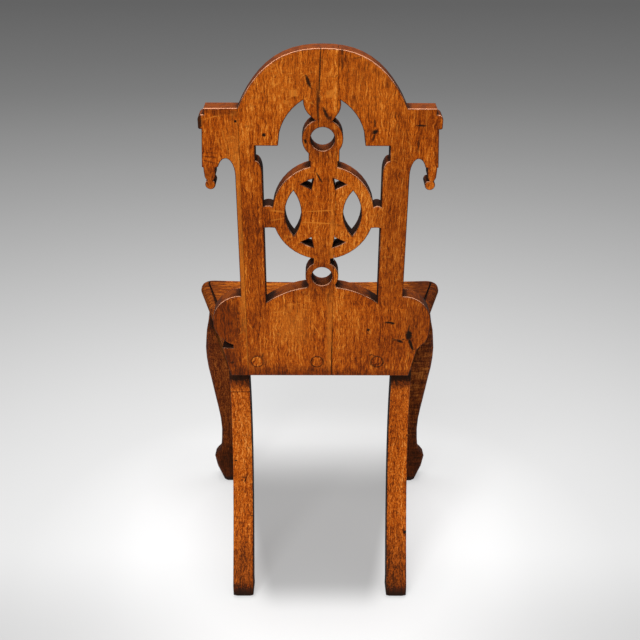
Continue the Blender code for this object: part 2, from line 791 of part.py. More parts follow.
def side_rail_x(y):
    """Middle of the left side rail, from the rear leg's front face to the post's back face."""
    back_end, front_end = rear_leg_front(leg_top - rail_height / 2), -post_back
    share = (back_end - y) / (back_end - front_end)
    return (rear_leg_outer - rail_inset) * (1 - share) + (post_outer - rail_inset) * share


def block_ring(level, side, front):
    """Plan of a glue block at one level: two rails, and the leg that it fits round."""
    if front:
        rail_face = post_front + rail_inset + rail_thickness / 2 + gap
        leg_x, leg_y, into = post_inner - gap, gap - post_back, 1
    else:
        rail_face = back_front_y(level) - rail_thickness - 2 * gap
        leg_x, leg_y, into = rear_leg_inner - gap, rear_leg_front(level) - gap, -1
    end_y = leg_y + into * block_run
    inside = rail_thickness / 2 + gap
    corners = [(leg_x - block_run, rail_face), (leg_x, rail_face), (leg_x, leg_y),
               (side_rail_x(leg_y) - inside, leg_y), (side_rail_x(end_y) - inside, end_y)]
    return [(side * x, y, level) for x, y in corners]


def make_block(side, front, board, context):
    """Glue block in a corner of the frame, with the screw that holds the seat down."""
    parts, cutters, root, looks = context
    label = f"{'front' if front else 'rear'}_{'left' if side > 0 else 'right'}"
    foot = leg_top - block_height
    rings = [block_ring(level, side, front) for level in (foot, leg_top)]
    block = place(f"corner_block_{label}", loft_mesh("corner_block", rings), parts, root)
    middle = sum((Vector(point) for point in rings[0]), Vector()) / len(rings[0])
    spot, facing = (middle.x, middle.y, foot + seat_screw_sink), (math.pi, 0, 0)
    profile = screw_profile(seat_screw_length, seat_screw_radius, seat_screw_head)
    finish(turned(f"seat_screw_{label}", profile, parts, root, spot, facing), looks["screw"])
    hole = screw_profile(seat_screw_length, seat_screw_radius, seat_screw_head, gap)
    wide = hole[1][0]
    entry = [(0, seat_screw_sink + overrun), (wide, seat_screw_sink + overrun)]
    bore = as_cutter(turned(f"seat_bore_{label}", entry + hole[2:], cutters, root, spot, facing))
    boolean(block, bore)
    boolean(board, bore)
    finish(block, looks["block"])


def make_frame(rear_legs, front_legs, boards, context):
    """Rails, corner blocks and their screws."""
    front_spot = ((0, post_front + rail_inset), 0)
    make_rail("front_rail", 2 * post_inner, rail_height, (0, 0, 0), front_spot,
              (front_legs[-1], front_legs[1]), context)
    rear_y = back_front_y(leg_top - back_rail_height / 2) - gap - rail_thickness / 2
    make_rail("back_rail", 2 * rear_leg_inner, back_rail_height, (0, back_slope, 0), ((0, rear_y), 0),
              (rear_legs[-1], rear_legs[1]), context)
    back_end, front_end = rear_leg_front(leg_top - rail_height / 2), -post_back
    middle = (back_end + front_end) / 2
    skew = (post_outer - rear_leg_outer) / (back_end - front_end)
    for side, label in ((1, "left"), (-1, "right")):
        make_rail(f"side_rail_{label}", back_end - front_end, rail_height, (side * skew, 0, back_slope),
                  ((side * side_rail_x(middle), middle), -math.pi / 2), (rear_legs[side], front_legs[side]),
                  context)
        make_block(side, True, boards[0], context)
        make_block(side, False, boards[1], context)


def make_looks():
    return {
        "back": material("back_oak", (0.46, 0.17, 0.035), 0.38),
        "seat": material("seat_oak", (0.34, 0.125, 0.03), 0.4),
        "front_leg": material("front_leg_oak", (0.17, 0.055, 0.018), 0.4),
        "rear_leg": material("rear_leg_oak", (0.48, 0.18, 0.04), 0.42),
        "frame": material("frame_oak", (0.25, 0.095, 0.03), 0.55),
        "block": material("block_pine", (0.45, 0.27, 0.11), 0.7),
        "pellet": material("pellet_oak", (0.4, 0.15, 0.03), 0.4),
        "screw": material("screw_steel", (0.35, 0.33, 0.31), 0.45, 1.0),
    }


def main():
    clear_scene()
    parts = new_collection("hall_chair")
    cutters = new_collection("cutters")
    front = -min(y for _, y in seat_half_outline())
    root = empty("chair_root", parts, None, (0, (front - (crown - arris) * math.sin(back_rake)) / 2, 0))
    back_frame = empty("back_frame", parts, root, (back_offset, 0, back_foot_level), back_turn)
    looks = make_looks()
    back = make_back(parts, cutters, back_frame, looks)
    seat = make_seat(parts, cutters, root, looks)
    bores = make_back_fixings(parts, cutters, back_frame, looks)
    for bore, board in zip(bores, (back[1], back[1], back[2])):
        boolean(board, bore)
        boolean(seat[1], bore)
    rear_legs = make_rear_legs(parts, cutters, root, looks)
    front_legs = {side: make_front_leg(side, parts, root, looks) for side in (1, -1)}
    make_frame(rear_legs, front_legs, seat, (parts, cutters, root, looks))
    bpy.context.view_layer.update()


main()
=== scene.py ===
import math

import bpy
from mathutils import Matrix, Vector

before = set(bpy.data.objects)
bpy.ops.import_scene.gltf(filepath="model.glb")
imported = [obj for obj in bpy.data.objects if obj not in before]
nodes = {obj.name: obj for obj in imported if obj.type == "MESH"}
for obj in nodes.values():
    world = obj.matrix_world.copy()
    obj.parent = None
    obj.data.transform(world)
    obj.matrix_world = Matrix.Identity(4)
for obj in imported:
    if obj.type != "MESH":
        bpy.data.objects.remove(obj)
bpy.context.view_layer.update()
print("frame loaded:", len(nodes), "nodes")


# Camera, at the photograph's angle: behind the chair, a little over its seat
cameraLook = {
    "place": (0.0057, 1.5425, 0.9772),
    "pitch": math.radians(20.1995),
    "yaw": math.radians(0.2028),
    "roll": math.radians(0.1804),
    "sensor": 36.0,
    "lens": 51.512,
    "shiftY": 0.01608,
    "clip": (0.05, 500.0),
}


def makeCamera(look):
    data = bpy.data.cameras.new("camera")
    data.sensor_width = look["sensor"]
    data.lens = look["lens"]
    data.shift_y = look["shiftY"]
    data.clip_start, data.clip_end = look["clip"]
    camera = bpy.data.objects.new("camera", data)
    bpy.context.scene.collection.objects.link(camera)
    pitch, yaw = look["pitch"], look["yaw"]
    level = math.cos(pitch)
    ahead = Vector((-math.sin(yaw) * level, -math.cos(yaw) * level, -math.sin(pitch)))
    right = ahead.cross(Vector((0, 0, 1))).normalized()
    up = right.cross(ahead)
    turn = Matrix.Rotation(-look["roll"], 3, ahead)
    axes = Matrix((turn @ right, turn @ up, -ahead)).transposed()
    camera.matrix_world = Matrix.Translation(look["place"]) @ axes.to_4x4()
    bpy.context.scene.camera = camera


makeCamera(cameraLook)


# Node helpers: each takes constants or sockets, and all but addNode give back the socket of the result
def feed(tree, socket, value):
    if isinstance(value, bpy.types.NodeSocket):
        tree.links.new(value, socket)
    elif socket.type == "RGBA" and len(value) == 3:
        socket.default_value = (*value, 1.0)
    else:
        socket.default_value = value


def addNode(tree, kind, inputs=None, **settings):
    node = tree.nodes.new("ShaderNode" + kind)
    for key, value in settings.items():
        setattr(node, key, value)
    for key, value in (inputs or {}).items():
        feed(tree, node.inputs[key], value)
    return node


def calc(tree, operation, *values, clamp=False):
    node = addNode(tree, "Math", dict(enumerate(values)), operation=operation, use_clamp=clamp)
    return node.outputs[0]


def vector(tree, operation, *values, out=0):
    return addNode(tree, "VectorMath", dict(enumerate(values)), operation=operation).outputs[out]


def blend(tree, factor, a, b, mode="MIX"):
    return addNode(tree, "Mix", {0: factor, 6: a, 7: b}, data_type="RGBA", blend_type=mode).outputs[2]


def step(tree, value, low, high, toLow=0.0, toHigh=1.0):
    inputs = {"Value": value, "From Min": low, "From Max": high, "To Min": toLow, "To Max": toHigh}
    return addNode(tree, "MapRange", inputs, interpolation_type="SMOOTHSTEP").outputs[0]


def noiseAt(tree, place, scales, detail=2.0, rough=0.5):
    # Scales are repeats per metre along each axis
    spot = vector(tree, "MULTIPLY", place, scales)
    inputs = {"Vector": spot, "Scale": 1.0, "Detail": detail, "Roughness": rough}
    return addNode(tree, "TexNoise", inputs).outputs[0]


def weigh(tree, middle, parts):
    # Noises centred on zero and added by their shares to a middle value
    total = middle
    for value, share in parts:
        total = calc(tree, "MULTIPLY_ADD", calc(tree, "SUBTRACT", value, 0.5), share, total)
    return total


def ramp(tree, value, stops):
    node = addNode(tree, "ValToRGB", {"Fac": value})
    elements = node.color_ramp.elements
    while len(elements) < len(stops):
        elements.new(1.0)
    for element, (position, colour) in zip(elements, stops):
        element.position = position
        element.color = (*colour, 1.0)
    return node.outputs[0]


# Noises of the oak by name: the place each is read at, its detail and its roughness
oakNoises = {
    "lines": ("fibre", 3.0, 0.62), "fine": ("fibre", 2.0, 0.6), "bands": ("fibre", 2.0, 0.5),
    "grit": ("board", 2.0, 0.6), "mottle": ("board", 4.0, 0.62), "blotch": ("board", 2.0, 0.5),
    "ripple": ("board", 2.0, 0.5),
}

# What all woods share. A range names where a soft step starts and ends.
oakDetail = {
    # Pores gather where the lines are dark
    "crowdRange": (0.6, 0.4), "crowd": 0.05, "poreRange": (0.43, 0.33),
    # Ray flecks are bent, and lie in patches
    "bendScale": (24, 24, 24), "bend": 0.05, "rayDetail": (2.0, 0.55), "rayRange": (0.58, 0.68),
    "rayAreaScale": (13, 10, 5), "rayAreaRange": (0.48, 0.64),
    # Ragged edges of holes, washed edges of shades, and thin rings
    "ragScale": (520, 420, 520), "ragMiddle": 0.65, "rag": 1.3, "washScale": (95, 70, 95),
    "ringRag": 0.16, "ringCore": 0.3, "shadeRange": (0.25, 0.8),
    # Sawn sides, told from the face by their normals, with painted light where they face up and painted
    # shade elsewhere
    "up": (0.06, 0.12, 1.0), "sideMottle": 1.4, "sideFine": 0.5, "sideRange": (0.55, 0.25),
    # Rubbed edges, with painted highlight and painted shade
    "bevelSamples": 6, "bevelRange": (0.02, 0.16), "arrisFrom": (0.985, 0.94), "arrisTo": (0.12, 0.3),
    "wearAndLightMottle": 1.2, "wearAndLightBlotch": 1.2, "wearAndLightRange": (0.2, 0.75),
    # Painted shade and dirt in the corners and between parts
    "dirtAndShadeSamples": 8, "dirtAndShadeMottle": 0.2,
    # Shares in the roughness
    "roughMottle": 0.35, "roughFine": 0.25, "roughPore": 0.15, "roughRubbed": -0.12, "roughDirt": 0.3,
    "roughSideRange": (0.9, 0.4),
    # Shares in the bump, in metres
    "planeScale": (30, 14, 30), "planeHeight": 0.0012, "lineHeight": 0.00022, "gritHeight": 0.00016,
    "poreHeight": -0.00012, "holeHeight": -0.0012,
}


def boardPlace(tree, board):
    # Object coordinates in a board's own frame: x across it, y along its grain, z through it
    coords = addNode(tree, "TexCoord")
    inputs = {"Vector": coords.outputs["Object"], "Location": board["origin"], "Rotation": board["turn"]}
    return addNode(tree, "Mapping", inputs, vector_type="TEXTURE").outputs[0]


def markMask(tree, place, rag, mark, kind):
    # A mark is x, y, half width, half height, tilt in degrees, softness and strength
    x, y, wide, tall, tilt, soft, strength = mark
    inputs = {"Vector": place, "Location": (x, y, 0), "Rotation": (0, 0, -math.radians(tilt)),
              "Scale": (wide, tall, 1.0)}
    local = addNode(tree, "Mapping", inputs, vector_type="TEXTURE").outputs[0]
    if kind == "square":
        parts = addNode(tree, "SeparateXYZ", {0: vector(tree, "ABSOLUTE", local)}).outputs
        reach = calc(tree, "MAXIMUM", parts[0], parts[1])
    else:
        reach = vector(tree, "LENGTH", vector(tree, "MULTIPLY", local, (1, 1, 0)), out=1)
    if kind == "ring":
        edge = calc(tree, "ABSOLUTE", calc(tree, "SUBTRACT", reach, 1.0))
        edge = calc(tree, "MULTIPLY_ADD", rag, oakDetail["ringRag"], edge)
        return step(tree, edge, soft, soft * oakDetail["ringCore"], 0.0, strength)
    return step(tree, calc(tree, "ADD", reach, rag), 1 + soft, 1 - soft, 0.0, strength)


def allMarks(tree, place, rag, marks, kind="round"):
    mask = 0.0
    for mark in marks:
        mask = calc(tree, "MAXIMUM", markMask(tree, place, rag, mark, kind), mask)
    return mask


def makeOak(name, board, look, marks=None):
    # Oiled oak: growth streaks, open pores, ray flecks, old dirt with painted shade in the corners, worn
    # edges with painted highlight and shade, sides with painted light, and single flaws with a few painted
    # shades
    made = bpy.data.materials.new(name)
    made.use_nodes = True
    tree = made.node_tree
    shader = tree.nodes["Principled BSDF"]
    marks = marks or {}
    detail = oakDetail
    place = boardPlace(tree, board)
    seeded = vector(tree, "ADD", place, board["seed"])

    # Grain lines wander slowly along the board, with small waves
    slow = noiseAt(tree, seeded, look["driftScale"])
    quick = noiseAt(tree, seeded, look["waveScale"], detail=1.0)
    shift = weigh(tree, 0.0, ((slow, look["drift"]), (quick, look["wave"])))
    fibre = vector(tree, "ADD", seeded, addNode(tree, "CombineXYZ", {"X": shift}).outputs[0])

    places = {"board": seeded, "fibre": fibre}
    noise = {key: noiseAt(tree, places[where], look[key + "Scale"], fineness, rough)
             for key, (where, fineness, rough) in oakNoises.items()}
    value = weigh(tree, look["middle"], [(noise[key], look[key]) for key in oakNoises])
    colour = ramp(tree, value, look["tones"])

    # Pores: short soft dashes along the grain, gathered in the dark lines
    pores = noiseAt(tree, fibre, look["poreScale"], detail=1.0)
    crowd = step(tree, noise["lines"], *detail["crowdRange"], 0.0, detail["crowd"])
    pore = step(tree, pores, *[calc(tree, "ADD", end, crowd) for end in detail["poreRange"]])
    colour = blend(tree, calc(tree, "MULTIPLY", pore, look["poreShare"]), colour, look["pore"])

    # Ray flecks: short bright marks across the grain where the cut meets the rays
    bend = noiseAt(tree, seeded, detail["bendScale"], detail=1.0)
    bend = calc(tree, "MULTIPLY", calc(tree, "SUBTRACT", bend, 0.5), detail["bend"])
    rayPlace = vector(tree, "ADD", seeded, addNode(tree, "CombineXYZ", {"Y": bend}).outputs[0])
    rays = noiseAt(tree, rayPlace, look["rayScale"], *detail["rayDetail"])
    rayArea = noiseAt(tree, seeded, detail["rayAreaScale"], detail=1.0)
    rayArea = step(tree, rayArea, *detail["rayAreaRange"])
    ray = calc(tree, "MULTIPLY", step(tree, rays, *detail["rayRange"]), rayArea)
    colour = blend(tree, calc(tree, "MULTIPLY", ray, look["rayShare"]), colour, look["ray"])

    # Single flaws, and a few marks of painted shadow, shade and highlight, with ragged or washed edges, no
    # deeper than markDepth
    rag = calc(tree, "SUBTRACT", noiseAt(tree, seeded, detail["ragScale"]), detail["ragMiddle"])
    rag = calc(tree, "MULTIPLY", rag, detail["rag"])
    wash = calc(tree, "SUBTRACT", noiseAt(tree, seeded, detail["washScale"], detail=3.0), 0.5)
    wash = calc(tree, "MULTIPLY", wash, look["wash"])
    depth = addNode(tree, "SeparateXYZ", {0: place}).outputs[2]
    onFace = step(tree, depth, *look["markDepth"])
    kinds = {"shades": (wash, "round"), "glows": (wash, "square"),
             "rings": (wash, "ring"), "holes": (rag, "round")}
    flawAndShadeMasks = {key: calc(tree, "MULTIPLY", allMarks(tree, place, edge, marks.get(key, ()), kind), onFace)
            for key, (edge, kind) in kinds.items()}
    dim, pale = look["tones"][1][1], look["tones"][3][1]
    colour = blend(tree, flawAndShadeMasks["glows"], colour, blend(tree, noise["lines"], look["ray"], pale))
    shadeTone = blend(tree, step(tree, value, *detail["shadeRange"]), look["shade"], dim)
    colour = blend(tree, flawAndShadeMasks["shades"], colour, shadeTone)

    # Sawn sides of the board, with painted light: brown where they face up, painted shade almost black
    # elsewhere
    normal = addNode(tree, "NewGeometry").outputs["True Normal"]
    across = calc(tree, "ABSOLUTE", vector(tree, "DOT_PRODUCT", normal, board["face"], out=1))
    lightFacing = vector(tree, "DOT_PRODUCT", normal, detail["up"], out=1)
    sideNoise = ((noise["mottle"], detail["sideMottle"]), (noise["fine"], detail["sideFine"]))
    sideLitColour = ramp(tree, weigh(tree, step(tree, lightFacing, 0.0, 1.0), sideNoise), look["sides"])
    onSide = step(tree, across, *detail["sideRange"], 0.0, look["sideShare"])
    colour = blend(tree, onSide, colour, sideLitColour)

    # Wear and painted light: edges that face up are rubbed pale with a painted highlight, the others keep a
    # painted dark shade line
    samples = detail["bevelSamples"]
    bevel = addNode(tree, "Bevel", {"Radius": look["edgeRadius"]}, samples=samples).outputs[0]
    turned = calc(tree, "SUBTRACT", 1.0, vector(tree, "DOT_PRODUCT", bevel, normal, out=1))
    edgeWearAndLight = calc(tree, "MULTIPLY", step(tree, turned, *detail["bevelRange"]), look["edgeShare"])
    arris = [step(tree, across, *detail[key]) for key in ("arrisFrom", "arrisTo")]
    arris = calc(tree, "MULTIPLY", calc(tree, "MULTIPLY", *arris), look["arrisShare"])
    edgeWearAndLight = calc(tree, "MAXIMUM", edgeWearAndLight, arris)
    wearAndLightNoise = ((noise["mottle"], detail["wearAndLightMottle"]), (noise["blotch"], detail["wearAndLightBlotch"]))
    wearAndLight = step(tree, weigh(tree, lightFacing, wearAndLightNoise), *detail["wearAndLightRange"])
    colour = blend(tree, edgeWearAndLight, colour, blend(tree, wearAndLight, look["edgePaintedShade"], look["edge"]))

    # Old dirt and polish with painted shade in the corners and between parts, and dark holes over everything
    samples = detail["dirtAndShadeSamples"]
    nearby = addNode(tree, "AmbientOcclusion", {"Distance": look["dirtAndShadeReach"]}, samples=samples)
    nearby = weigh(tree, nearby.outputs["AO"], ((noise["mottle"], detail["dirtAndShadeMottle"]),))
    dirtAndShade = step(tree, nearby, *look["dirtAndShadeRange"], 0.0, look["dirtAndShadeShare"])
    colour = blend(tree, dirtAndShade, colour, look["dirtAndShade"])
    colour = blend(tree, calc(tree, "MAXIMUM", flawAndShadeMasks["holes"], flawAndShadeMasks["rings"]), colour, look["hole"])
    feed(tree, shader.inputs["Base Color"], colour)

    roughNoise = ((noise["mottle"], detail["roughMottle"]), (noise["fine"], detail["roughFine"]))
    rough = weigh(tree, look["rough"], roughNoise)
    dull = calc(tree, "MAXIMUM", flawAndShadeMasks["holes"], dirtAndShade)
    for part, share in ((pore, "roughPore"), (edgeWearAndLight, "roughRubbed"), (dull, "roughDirt")):
        rough = calc(tree, "MULTIPLY_ADD", part, detail[share], rough)
    sideRough = step(tree, across, *detail["roughSideRange"], 0.0, look["sideRough"])
    feed(tree, shader.inputs["Roughness"], calc(tree, "ADD", rough, sideRough, clamp=True))
    shader.inputs["Specular IOR Level"].default_value = look["specular"]
    shader.inputs["Specular Tint"].default_value = (*look["specularTint"], 1.0)

    height = noiseAt(tree, seeded, detail["planeScale"])
    height = calc(tree, "MULTIPLY", height, detail["planeHeight"])
    for part, share in ((noise["lines"], "lineHeight"), (noise["grit"], "gritHeight"),
                        (pore, "poreHeight"), (flawAndShadeMasks["holes"], "holeHeight")):
        height = calc(tree, "MULTIPLY_ADD", part, detail[share], height)
    inputs = {"Height": height, "Distance": 1.0, "Strength": look["bump"], "Normal": bevel}
    feed(tree, shader.inputs["Normal"], addNode(tree, "Bump", inputs).outputs[0])
    return made


def dress(material, *names):
    for name in names:
        slots = nodes[name].data.materials
        slots.clear()
        slots.append(material)


# Oak of the back. Colours are linear; scales are repeats per metre across, along and through.
backLook = {
    "tones": ((0.04, (0.055, 0.008, 0.0012)), (0.30, (0.230, 0.034, 0.0014)), (0.50, (0.388, 0.071, 0.0028)),
              (0.70, (0.53, 0.123, 0.0070)), (0.96, (0.76, 0.27, 0.038))),
    "middle": 0.515,
    "driftScale": (14, 5, 14), "drift": 0.016, "waveScale": (70, 75, 70), "wave": 0.0060,
    "linesScale": (390, 15, 220), "lines": 1.1,
    "fineScale": (620, 76, 480), "fine": 1.4,
    "bandsScale": (100, 3.5, 50), "bands": 0.5,
    "gritScale": (700, 520, 700), "grit": 0.7,
    "mottleScale": (95, 60, 95), "mottle": 0.3,
    "blotchScale": (17, 9, 14), "blotch": 0.6,
    "rippleScale": (30, 190, 30), "ripple": 0.15,
    "poreScale": (820, 170, 400), "pore": (0.060, 0.010, 0.0030), "poreShare": 0.5,
    "rayScale": (95, 300, 80), "ray": (0.80, 0.29, 0.036), "rayShare": 0.34,
    "markDepth": (0.009, 0.005), "wash": 1.6, "shade": (0.050, 0.009, 0.0030), "hole": (0.010, 0.005, 0.004),
    # Sawn sides: painted light by how they face, from near-black painted shade with a violet painted
    # reflection to brown where they face up
    "sides": ((0.05, (0.010, 0.007, 0.009)), (0.40, (0.036, 0.018, 0.016)), (0.72, (0.075, 0.016, 0.005)),
              (0.95, (0.115, 0.022, 0.004)), (1.0, (0.155, 0.032, 0.004))),
    "sideShare": 1.0,
    # Edges: pale wear and painted highlight where they face up, a painted shade line elsewhere
    "edge": (0.88, 0.42, 0.24), "edgePaintedShade": (0.075, 0.013, 0.004), "edgeRadius": 0.0016, "edgeShare": 0.0,
    "arrisShare": 0.85,
    # Near-black of old dirt and of painted shade in the corners and between parts
    "dirtAndShade": (0.010, 0.006, 0.006), "dirtAndShadeShare": 0.92, "dirtAndShadeReach": 0.020, "dirtAndShadeRange": (0.95, 0.70),
    "rough": 0.44, "sideRough": 0.4, "specular": 0.17, "specularTint": (1.0, 0.5, 0.2), "bump": 0.5,
}
rake = math.radians(10.6)
backOrigin = (-0.0018, 0.1543, 0.387)
backTurn = (math.pi / 2 - rake, 0, 0)
backFace = (0, math.cos(rake), -math.sin(rake))

# Flaws of each board, with a few marks of painted shade and highlight, a row of numbers each, which markMask
# names
leftMarks = {
    # The hole at x 0.1745 is painted shade for the side of the ear's lug, and the glow at x 0.17 a painted
    # highlight on the lug's edge
    "holes": (
        (0.1229, 0.4283, 0.0016, 0.0017, 0, 0.4, 1),
        (0.1452, 0.0253, 0.0028, 0.0016, 20, 0.5, 0.8),
        (0.1745, 0.4285, 0.0034, 0.0125, 0, 0.4, 0.9),
    ),
    "shades": (
        (0.162, 0.376, 0.01, 0.0014, -6, 0.5, 0.75),
        (0.162, 0.3685, 0.009, 0.0012, -14, 0.5, 0.75), (0.158, 0.382, 0.012, 0.001, -4, 0.5, 0.5),
        (0.15, 0.392, 0.016, 0.001, 24, 0.5, 0.4), (0.165, 0.345, 0.009, 0.016, 0, 0.5, 0.5),
        (0.148, 0.4435, 0.021, 0.0062, -4, 0.25, 0.7), (0.172, 0.43, 0.006, 0.007, 0, 0.5, 0.45),
        (0.1574, 0.1, 0.026, 0.052, 0, 0.45, 0.95), (0.154, 0.03, 0.019, 0.03, 0, 0.5, 0.95),
        (0.14, -0.004, 0.2, 0.022, 0, 0.5, 0.95), (0.1225, 0.25, 0.007, 0.13, 0, 0.7, 0.2),
        (0.145, 0.05, 0.02, 0.05, 0, 0.8, 0.4),
    ),
    "glows": (
        (0.1202, 0.14, 0.0007, 0.15, 0, 0.6, 0.6), (0.1244, 0.035, 0.0012, 0.006, -40, 0.6, 0.6),
        (0.124, 0.26, 0.004, 0.15, 0, 0.5, 0.42), (0.129, 0.375, 0.007, 0.04, 0, 0.8, 0.22),
        (0.139, 0.4, 0.0012, 0.016, 12, 0.7, 0.5), (0.146, 0.393, 0.001, 0.014, 24, 0.7, 0.4),
        (0.158, 0.4335, 0.013, 0.0009, 16, 0.7, 0.5), (0.17, 0.431, 0.0006, 0.008, 0, 0.5, 0.6),
    ),
}
seamMarks = (
    (-0.0163, 0.015, 0.0008, 0.019, 0, 0.5, 0.8), (-0.0166, 0.045, 0.0008, 0.019, 0, 0.5, 0.8),
    (-0.0169, 0.075, 0.0007, 0.016, 0, 0.5, 0.65),
)
middleMarks = {
    "rings": (
        (0.1047, 0.0272, 0.0094, 0.0092, 0, 0.3, 0.5),
        (0.0072, 0.0272, 0.0094, 0.0092, 0, 0.32, 0.75),
    ),
    "holes": (
        (0.0204, 0.4849, 0.0021, 0.0072, 18, 0.45, 0.95),
        (0.0832, 0.4086, 0.0022, 0.0022, 0, 0.45, 1),
        (0.0042, 0.499, 0.0009, 0.036, -2, 0.5, 0.85), (0.007, 0.449, 0.0011, 0.024, 2, 0.6, 0.8),
        (0.0062, 0.459, 0.0022, 0.0045, 8, 0.6, 0.8),
        (-0.0042, 0.4398, 0.0019, 0.0078, 24, 0.5, 0.95),
        (-0.0092, 0.4335, 0.0028, 0.002, 0, 0.6, 0.8),
        (0.0246, 0.3994, 0.0014, 0.0028, 10, 0.4, 1),
        (0.0043, 0.3443, 0.0012, 0.0072, 28, 0.5, 0.9),
        (0.1002, 0.03, 0.0034, 0.0014, 0, 0.5, 0.9), (0.096, 0.038, 0.001, 0.0045, -20, 0.5, 0.7),
        (0.104, 0.025, 0.0014, 0.0022, 20, 0.5, 0.7), *seamMarks,
    ),
    "shades": (
        (0.0177, 0.304, 0.0028, 0.003, 0, 0.6, 0.6), (0.0009, 0.4018, 0.033, 0.032, 0, 0.35, 0.62),
        (0, 0.1831, 0.029, 0.029, 0, 0.35, 0.75), (0.05, -0.004, 0.3, 0.02, 0, 0.5, 0.95),
        (0.103, 0.25, 0.02, 0.14, 0, 0.6, 0.22), (0.0, 0.152, 0.03, 0.008, 0, 0.7, 0.4),
        (0.0, 0.225, 0.018, 0.02, 0, 0.8, 0.3), (0.104, 0.028, 0.014, 0.014, 0, 0.7, 0.85),
        (0.112, 0.02, 0.02, 0.03, 0, 0.8, 0.6), (0.075, 0.26, 0.02, 0.03, -40, 0.8, 0.3),
        (0.0072, 0.45, 0.003, 0.03, 0, 0.8, 0.5), (0.098, 0.115, 0.012, 0.03, 0, 0.8, 0.35),
    ),
    "glows": (
        (0.0413, 0.4687, 0.0052, 0.005, 3, 0.3, 0.55),
        (-0.0095, 0.468, 0.005, 0.0052, 0, 0.3, 0.5), (-0.0105, 0.495, 0.006, 0.003, 8, 0.5, 0.3),
        (0.052, 0.456, 0.004, 0.0026, -20, 0.5, 0.4), (0.0063, 0.2925, 0.021, 0.0009, 3, 0.5, 0.6),
        (0.0063, 0.2732, 0.023, 0.001, -3, 0.5, 0.6), (0.0657, 0.292, 0.01, 0.0012, -8, 0.6, 0.6),
        (0.0657, 0.279, 0.008, 0.001, 12, 0.6, 0.6), (0.05, 0.1329, 0.0036, 0.003, 0, 0.5, 0.6),
        (0.0495, 0.124, 0.003, 0.005, 0, 0.6, 0.4), (0.0678, 0.1204, 0.008, 0.0009, 8, 0.6, 0.6),
        (0.0909, 0.071, 0.003, 0.0009, 0, 0.6, 0.6), (0.0067, 0.0854, 0.0007, 0.008, 30, 0.6, 0.9),
        (0.0369, 0.0638, 0.0009, 0.007, 25, 0.6, 0.6),
        (0.036, 0.048, 0.0009, 0.006, -20, 0.6, 0.5),
        (0.1141, 0.0945, 0.0009, 0.007, 35, 0.6, 0.5),
        (-0.0125, 0.078, 0.004, 0.066, 0, 0.8, 0.35), (-0.0145, 0.25, 0.0026, 0.045, 0, 0.8, 0.35),
        (0.045, 0.095, 0.02, 0.026, 0, 0.9, 0.25), (0.04, 0.112, 0.0008, 0.04, 0, 0.7, 0.35),
        (0.03, 0.505, 0.085, 0.05, 0, 0.9, 0.08),
    ),
}
rightMarks = {
    "rings": ((-0.0903, 0.0272, 0.0094, 0.0092, 0, 0.32, 0.75),),
    "holes": (
        (-0.026, 0.5247, 0.0016, 0.004, 0, 0.5, 0.7), (-0.0262, 0.51, 0.001, 0.008, 2, 0.5, 0.55),
        (-0.0461, 0.5169, 0.0046, 0.0008, 8, 0.5, 0.5),
        (-0.0742, 0.4133, 0.0036, 0.0026, 25, 0.5, 1),
        (-0.0736, 0.4258, 0.001, 0.005, 6, 0.5, 0.85),
        (-0.0725, 0.4048, 0.0013, 0.0048, -16, 0.5, 0.85),
        (-0.1394, 0.4228, 0.0058, 0.0011, -2, 0.6, 0.95),
        (-0.1369, 0.3952, 0.0009, 0.0095, -2, 0.6, 0.8),
        (-0.0746, 0.0875, 0.0021, 0.0021, 0, 0.5, 1), (-0.1084, 0.101, 0.0066, 0.0014, -4, 0.5, 1),
        (-0.113, 0.0992, 0.003, 0.0013, 16, 0.6, 0.95),
        (-0.1259, 0.0665, 0.0044, 0.002, -22, 0.5, 1),
        (-0.118, 0.069, 0.0026, 0.0011, 0, 0.6, 0.85),
        (-0.1316, 0.07, 0.002, 0.0011, 20, 0.6, 0.85), (-0.1396, 0.078, 0.004, 0.0078, 0, 0.35, 1),
        (-0.1388, 0.09, 0.0012, 0.006, -8, 0.6, 0.8), (-0.1436, 0.061, 0.0021, 0.0112, 20, 0.4, 1),
        (-0.088, 0.038, 0.004, 0.001, -12, 0.6, 0.8), (-0.08, 0.0405, 0.0024, 0.001, 30, 0.6, 0.7),
        *seamMarks,
    ),
    "shades": (
        (-0.0772, 0.4958, 0.008, 0.0036, -40, 0.6, 0.5),
        (-0.0894, 0.4852, 0.004, 0.008, 0, 0.6, 0.5),
        (-0.0438, 0.4611, 0.0048, 0.0064, 0, 0.5, 0.5), (-0.03, 0.515, 0.009, 0.009, 0, 0.7, 0.4),
        (-0.152, 0.0523, 0.0036, 0.0042, 0, 0.5, 0.8), (-0.09, -0.004, 0.3, 0.016, 0, 0.5, 0.75),
        (-0.157, 0.1, 0.03, 0.06, 0, 0.7, 0.5), (-0.148, 0.43, 0.018, 0.03, 0, 0.8, 0.35),
        (-0.108, 0.27, 0.028, 0.15, 0, 0.5, 0.42), (-0.11, 0.05, 0.08, 0.05, 0, 0.6, 0.16),
        (-0.164, 0.4, 0.004, 0.04, 0, 0.7, 0.5),
    ),
    "glows": (
        (-0.146, 0.43, 0.0008, 0.012, 0, 0.6, 0.5), (-0.051, 0.48, 0.0008, 0.012, -14, 0.7, 0.5),
        (-0.105, 0.415, 0.001, 0.01, 0, 0.7, 0.4), (-0.07, 0.49, 0.04, 0.05, 0, 0.9, 0.1),
    ),
}
backBoards = {
    "back_board_left": {"seed": (0.31, 0.12, 0.0), "flawsAndPaintedShade": leftMarks},
    "back_board_middle": {"seed": (0.0, 0.77, 0.4), "flawsAndPaintedShade": middleMarks},
    "back_board_right": {"seed": (0.93, 0.41, 0.8), "flawsAndPaintedShade": rightMarks},
}
